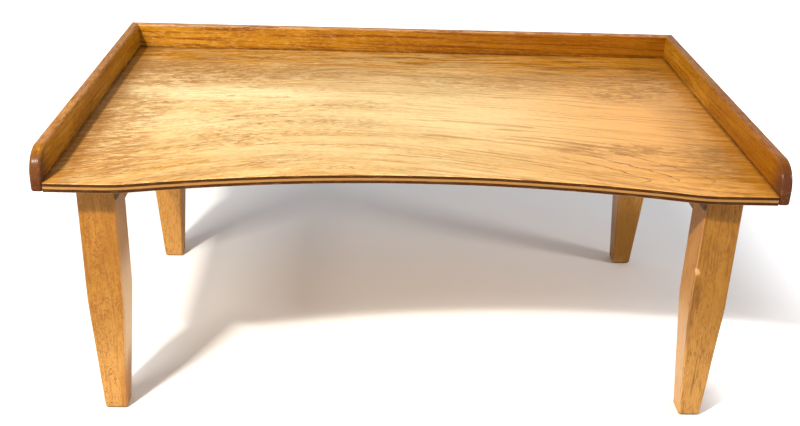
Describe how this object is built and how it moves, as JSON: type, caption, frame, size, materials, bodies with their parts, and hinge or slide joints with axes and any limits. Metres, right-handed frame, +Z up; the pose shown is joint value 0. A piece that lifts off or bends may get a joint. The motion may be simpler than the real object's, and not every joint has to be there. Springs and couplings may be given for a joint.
{
  "type": "bed tray table",
  "caption": "Wooden bed tray table: plywood tray with a hollow front edge and rails on the other sides, on tapered leg frames that fold flat underneath.",
  "frame": {"origin": "on the floor, under the middle of the tray's 600 by 390 mm outline", "axes": "+X along the tray to the right as the user sees it from the hollow front edge, +Y from the user to the back rail, +Z up"},
  "size_m": [0.6, 0.39, 0.2516],
  "materials": {
    "panel_plywood": "honey-coloured clear varnish over plywood, worn to a matt grey-brown in places, ply lines on the front edge",
    "rail_wood": "orange-brown varnish, semi-gloss, worn pale along the top",
    "leg_wood": "orange-tan clear varnish, satin, short dark flecks",
    "hinge_metal": "brassed steel, tarnished dark",
    "pin_steel": "plain steel, dulled",
    "brads": "plain steel heads, dulled"
  },
  "bodies": {
    "tray": {"tray_panel": "panel_plywood", "left_side_rail": "rail_wood", "right_side_rail": "rail_wood", "back_rail": "rail_wood", "rail_brads": "brads", "left_front_hinge_tray_leaf": "hinge_metal", "left_front_hinge_pin": "pin_steel", "left_rear_hinge_tray_leaf": "hinge_metal", "left_rear_hinge_pin": "pin_steel", "right_front_hinge_tray_leaf": "hinge_metal", "right_front_hinge_pin": "pin_steel", "right_rear_hinge_tray_leaf": "hinge_metal", "right_rear_hinge_pin": "pin_steel"},
    "left_leg_frame": {"left_front_leg": "leg_wood", "left_rear_leg": "leg_wood", "left_cross_rail": "leg_wood", "left_front_hinge_frame_leaf": "hinge_metal", "left_rear_hinge_frame_leaf": "hinge_metal"},
    "right_leg_frame": {"right_front_leg": "leg_wood", "right_rear_leg": "leg_wood", "right_cross_rail": "leg_wood", "right_front_hinge_frame_leaf": "hinge_metal", "right_rear_hinge_frame_leaf": "hinge_metal"}
  },
  "joints": [
    {"name": "left_frame_fold", "type": "hinge", "parent": "tray", "child": "left_leg_frame", "pos_m": [-0.238, 0, 0.2161], "axis": [0, -1, 0], "range_deg": [0, 90]},
    {"name": "right_frame_fold", "type": "hinge", "parent": "tray", "child": "right_leg_frame", "pos_m": [0.238, 0, 0.2161], "axis": [0, 1, 0], "range_deg": [0, 90]}
  ]
}
